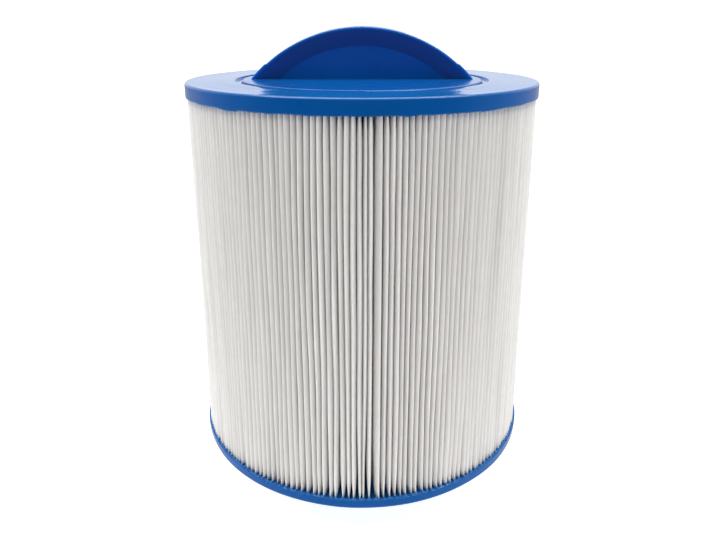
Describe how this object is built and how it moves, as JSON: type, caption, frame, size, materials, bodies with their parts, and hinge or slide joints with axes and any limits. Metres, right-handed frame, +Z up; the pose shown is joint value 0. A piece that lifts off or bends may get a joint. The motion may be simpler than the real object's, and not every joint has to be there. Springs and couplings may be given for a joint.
{
  "type": "pleated spa filter cartridge",
  "caption": "Round pleated spa filter cartridge with a half-moon lift handle on its top cap and a coarse-threaded nipple under its bottom cap.",
  "frame": {"origin": "centre of the bottom cap's underside, the face that lands on the standpipe", "axes": "+Z up the cartridge towards the handle, +X along the handle"},
  "size_m": [0.152, 0.152, 0.2096],
  "materials": {
    "cast_blue": "cast polyurethane, glossy with faint casting marks",
    "moulded_blue": "injection-moulded, satin gloss",
    "core_white": "plain moulded",
    "media_white": "spun-bonded polyester sheet, matte and slightly fibrous",
    "seam_glue": "set hot-melt adhesive"
  },
  "bodies": {
    "root": {"top_end_cap": "cast_blue", "bottom_end_cap": "cast_blue", "lift_handle": "moulded_blue", "threaded_nipple": "moulded_blue", "core_tube": "core_white", "pleated_media": "media_white", "media_seam_strip": "seam_glue"}
  },
  "joints": []
}
